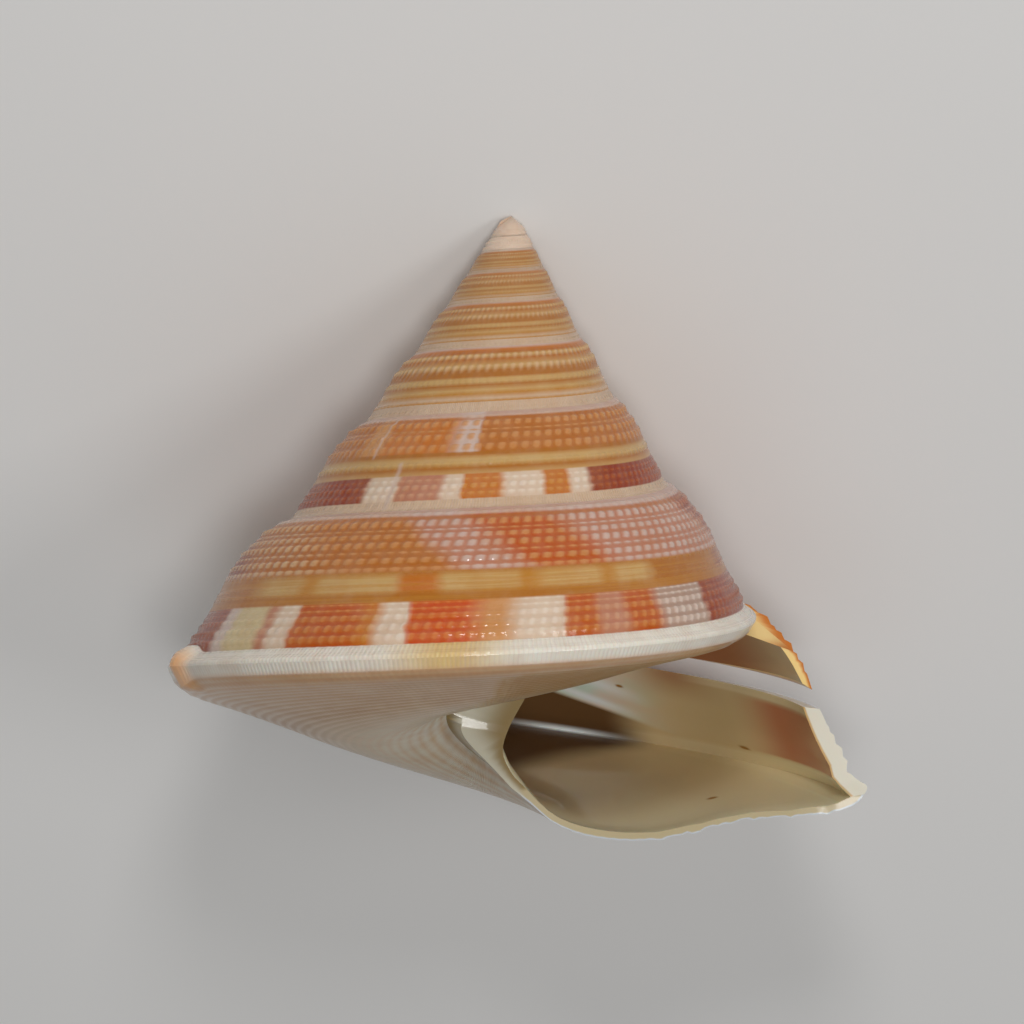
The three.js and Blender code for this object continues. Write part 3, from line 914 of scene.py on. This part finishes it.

# The bare edge of the lip is orange above the slit, with a painted yellow glow along its inner edge,
# white below it, and cream with a bluish rim along the floor. At the axis is a cream callus with a
# white ridge.
LIP_WHITE = colour(226, 220, 202)
LIP_CREAM = colour(196, 180, 142)
LIP_BLUISH = colour(206, 212, 218)
LIP_OCHRE = colour(206, 164, 100)
# Painted glow of light through the thin lip, along its inner edge.
LIP_GLOW_YELLOW = colour(252, 214, 140)
CALLUS_CREAM = colour(150, 126, 78)
RIDGE_WHITE = colour(206, 200, 178)
wall_lip = bead.above(0.12, 0.06).between(LIP_OCHRE, LIP_WHITE)
floor_lip = bead.above(0.82, 0.12).between(LIP_CREAM, LIP_BLUISH)
lip_edge = share.above(4.0, 0.1).between(floor_lip, wall_lip)
# Orange lip above the slit, with painted yellow glow along its inner edge.
upper_lip_with_glow = bead.above(0.7, 0.25).between(LIP_GLOW_YELLOW, ORANGE)
lip_edge = (1 - share.above(0.55, 0.02)).between(lip_edge, upper_lip_with_glow)
callus = bead.above(0.5, 0.4).between(CALLUS_CREAM, RIDGE_WHITE)
lip_edge = zone.above(2.5, 0.3).between(lip_edge, callus)
base = zone.above(0.5, 0.01).between(outside, inside_colour)
base = zone.above(1.5, 0.01).between(base, lip_edge)

# Growth ribs on the keel and the underside and a fine grain, as heights in millimetres, and the
# roughness. Beads and mother-of-pearl are smoother than the grooves, and the underside is rougher.
on_outside = 1 - zone.above(0.5, 0.01)
beneath = share.above(1.02, 0.01) * on_outside
beside = (1 - beneath) * on_outside
height = (turn + drawn(9.0, 2.0) * 0.004).waves(KEEL_RIBS) * 0.009 * white_edge * beside
ribs = (turn + drawn(6.0, 3.0) * 0.006).waves(UNDER_RIBS) * (0.006 + share.above(1.6, 0.2) * 0.020)
height = height + ribs * beneath
height = height + (mottle(3200.0) * 0.010 + mottle(900.0) * 0.016) * on_outside
grain = maker.node("ShaderNodeBump", {}, {"Height": height, "Distance": MM, "Strength": 1.0})
roughness = 0.30 + mottle(700.0) * 0.12 - on_bead * on_outside * 0.12
roughness = roughness + beneath * 0.12 - zone.near(1.0, 0.5) * 0.06

shader = material.node_tree.nodes["Principled BSDF"]
shader.inputs["Coat Weight"].default_value = 0.4
shader.inputs["Coat Roughness"].default_value = 0.06
shader.inputs["Specular IOR Level"].default_value = 0.2
shader.inputs["Subsurface Weight"].default_value = 0.2
shader.inputs["Subsurface Radius"].default_value = (1.0, 0.6, 0.35)
shader.inputs["Subsurface Scale"].default_value = 1.0 * MM
for socket, value in (("Base Color", base), ("Roughness", roughness), ("Normal", grain)):
    material.node_tree.links.new(value.socket, shader.inputs[socket])
mesh.materials.append(material)

# The camera. It looks down on the shell from the photograph's side. The photograph has the tip up,
# so the camera is rolled over. The view is given in the upright shell's millimetres.
VIEW_YAW, VIEW_RISE, VIEW_ROLL = np.radians([9.765, 1.774, -2.681])
VIEW_DISTANCE = 594.0
AIM = (0.0, 0.0, -25.0)
AIM_PIXEL = (495.4, 552.9)  # where the photograph shows that point
PIXELS_PER_MM = 13.273
IMAGE = 1024
SENSOR = 36.0

view = (Matrix.Rotation(VIEW_RISE, 3, "X") @ Matrix.Rotation(VIEW_YAW, 3, "Z")).transposed()
rolled = view @ Matrix.Rotation(VIEW_ROLL, 3, "Y")
to_right, ahead, to_top = (pose @ axis for axis in rolled.transposed())
focal = VIEW_DISTANCE * PIXELS_PER_MM
camera = bpy.data.objects.new("camera", bpy.data.cameras.new("camera"))
bpy.context.collection.objects.link(camera)
camera.data.sensor_width = SENSOR
camera.data.lens = focal / IMAGE * SENSOR
camera.data.clip_start = 0.01
camera.location = in_frame(AIM) - ahead * VIEW_DISTANCE * MM
aimed = ahead + to_right * ((IMAGE / 2 - AIM_PIXEL[0]) / focal)
aimed = (aimed + to_top * ((AIM_PIXEL[1] - IMAGE / 2) / focal)).normalized()
right = aimed.cross(to_top).normalized()
camera.rotation_euler = Matrix((right, right.cross(aimed), -aimed)).transposed().to_euler()
bpy.context.scene.camera = camera
bpy.context.scene.view_settings.view_transform = "Standard"

# The table that the shell lies on, a plain pale board. Its top is where the lowest bead touches it.
TABLE = 1.2  # metres, half of its side
table_mesh = bpy.data.meshes.new("table")
low = min(0.0, float(positions[:, 2].min()))
table_corners = [(x * TABLE, y * TABLE, low) for x, y in ((-1, -1), (1, -1), (1, 1), (-1, 1))]
table_mesh.from_pydata(table_corners, [], [(0, 1, 2, 3)])
table = bpy.data.objects.new("table", table_mesh)
bpy.context.collection.objects.link(table)
board = bpy.data.materials.new("table")
board.use_nodes = True
board_shader = board.node_tree.nodes["Principled BSDF"]
board_shader.inputs["Base Color"].default_value = colour(238, 237, 235)
board_shader.inputs["Roughness"].default_value = 0.8
table_mesh.materials.append(board)


# The light of a studio: four square lamps, all from the photograph's side, and a weak even light
# from everywhere.
def lamp(name, direction, distance, size, power):
    """A square lamp that shines on the shell from a direction. Metres and watts."""
    light = bpy.data.lights.new(name, "AREA")
    light.size = size
    light.energy = power
    made = bpy.data.objects.new(name, light)
    bpy.context.collection.objects.link(made)
    made.location = in_frame(AIM) + direction.normalized() * distance
    made.rotation_euler = direction.to_track_quat("Z", "Y").to_euler()


lamp("key", to_top * 0.38 + to_right * 0.02 - ahead * 0.92, distance=0.5, size=0.09, power=0.6)
lamp("front", to_right * 0.05 - to_top * 0.12 - ahead, distance=0.7, size=0.16, power=1.25)
lamp("mouth", to_right * 0.6 - to_top * 0.06 - ahead * 0.8, distance=0.6, size=0.16, power=0.5)
lamp("overhead", -to_top * 0.75 - ahead * 0.6, distance=0.6, size=0.5, power=0.3)
world = bpy.data.worlds.new("studio")
world.use_nodes = True
world.node_tree.nodes["Background"].inputs["Color"].default_value = (1, 1, 1, 1)
world.node_tree.nodes["Background"].inputs["Strength"].default_value = 0.12
bpy.context.scene.world = world
